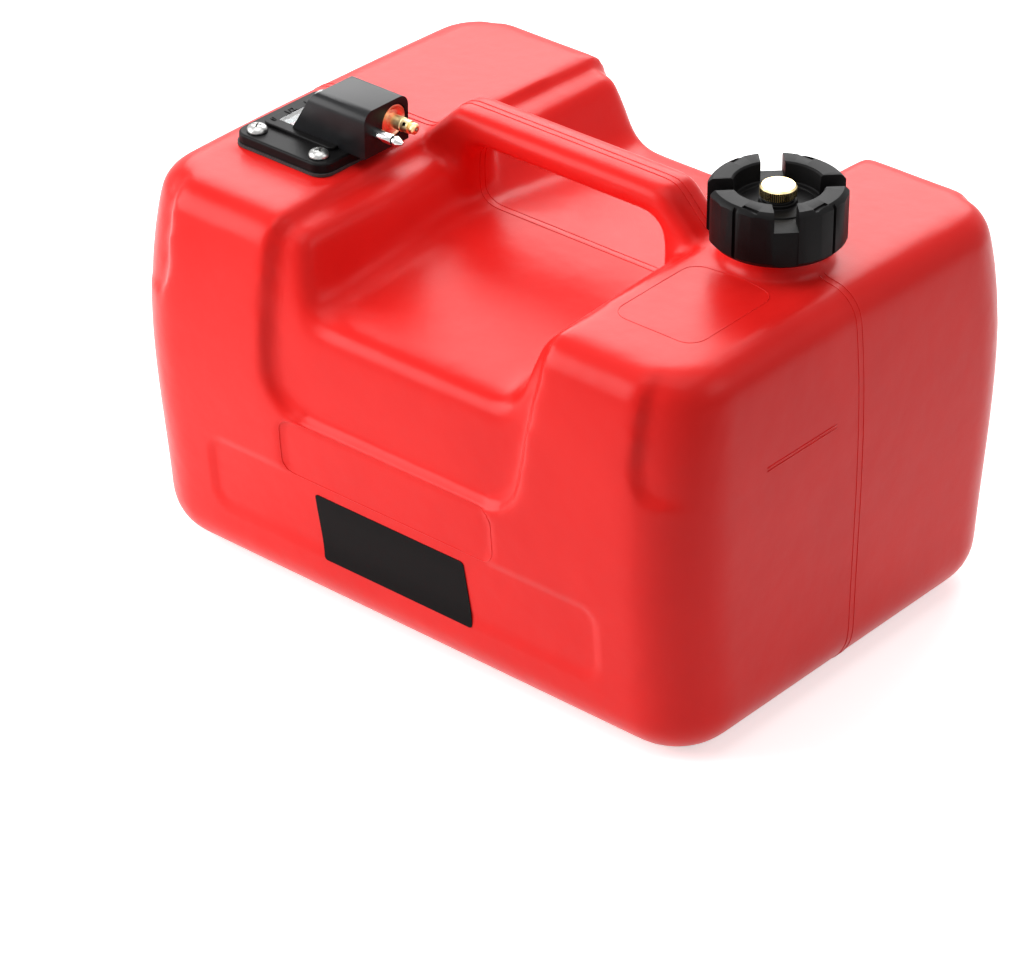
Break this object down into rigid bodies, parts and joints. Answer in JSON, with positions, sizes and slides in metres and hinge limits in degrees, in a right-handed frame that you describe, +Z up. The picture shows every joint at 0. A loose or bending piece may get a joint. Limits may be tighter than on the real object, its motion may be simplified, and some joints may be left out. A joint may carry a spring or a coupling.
{
  "type": "outboard fuel tank",
  "caption": "Portable moulded outboard fuel tank with a saddle-top carrying handle, a vented screw filler cap and a fuel meter head with a quick connector.",
  "frame": {"origin": "on the ground under the middle of the tank", "axes": "+X along the tank towards the filler cap, -Y towards the long side nearest the fuel meter, +Z up"},
  "size_m": [0.3558, 0.2666, 0.2494],
  "materials": {
    "red_polyethylene": "satin blow-moulded polyethylene",
    "black_nylon": "fine satin moulded nylon",
    "black_nylon_satin": "smooth semi-gloss moulded nylon",
    "black_rubber": "matte rubber",
    "brass": "turned, bright",
    "stainless_steel": "bright",
    "white_acetal": "smooth moulded",
    "pale_nylon": "smooth moulded",
    "black_foam": "closed-cell foam",
    "clear_window": "clear moulded plastic"
  },
  "bodies": {
    "tank": {"tank_body": "red_polyethylene", "threaded_inserts": "brass", "meter_gasket": "black_rubber", "meter_plate": "black_nylon", "channel_o_ring": "black_rubber", "window_seal": "black_rubber", "gauge_window": "clear_window", "plate_screws": "stainless_steel", "gauge_bracket": "stainless_steel", "bracket_screws": "stainless_steel", "pivot_pin": "stainless_steel", "pickup_tube": "pale_nylon", "pickup_strainer": "pale_nylon", "connector_housing": "black_nylon_satin", "connector_gasket": "black_rubber", "brass_connector": "brass", "poppet_spring": "stainless_steel", "spring_retainer": "brass", "guide_pin": "stainless_steel"},
    "float_assembly": {"gauge_drum": "white_acetal", "float_arm": "stainless_steel", "float": "black_foam", "float_clip": "stainless_steel"},
    "poppet": {"connector_poppet": "stainless_steel"},
    "cap_seal": {"cap_gasket": "black_rubber"},
    "cap": {"filler_cap": "black_nylon", "vent_bushing": "brass"},
    "vent_seal_ring": {"vent_seal": "black_rubber"},
    "vent_screw": {"vent_knob": "brass", "vent_clip": "stainless_steel"}
  },
  "joints": [
    {"name": "float_swing", "type": "hinge", "parent": "tank", "child": "float_assembly", "pos_m": [-0.1285, -0.0485, 0.2], "axis": [0, -1, 0], "range_deg": [0, 52]},
    {"name": "valve_push", "type": "slide", "parent": "tank", "child": "poppet", "axis": [-1, 0, 0], "range_m": [0, 0.0025], "stiffness_N_per_m": 300, "springref_m": -0.003, "deforming": ["poppet_spring"]},
    {"name": "cap_lift", "type": "slide", "parent": "tank", "child": "cap_seal", "axis": [0, 0, 1], "range_m": [0, 0.03]},
    {"name": "cap_turn", "type": "hinge", "parent": "cap_seal", "child": "cap", "pos_m": [0.1243, 0, 0.221], "axis": [0, 0, 1], "range_deg": [0, 1800]},
    {"name": "vent_lift", "type": "slide", "parent": "cap", "child": "vent_seal_ring", "axis": [0, 0, 1], "range_m": [0, 0.002]},
    {"name": "vent_turn", "type": "hinge", "parent": "vent_seal_ring", "child": "vent_screw", "pos_m": [0.1243, 0, 0.243], "axis": [0, 0, 1], "range_deg": [0, 720]}
  ],
  "couplings": [
    {"joint": "cap_lift", "follows": "cap_turn", "m_per_rad": 0.0009549},
    {"joint": "vent_lift", "follows": "vent_turn", "m_per_rad": 0.00015915}
  ]
}
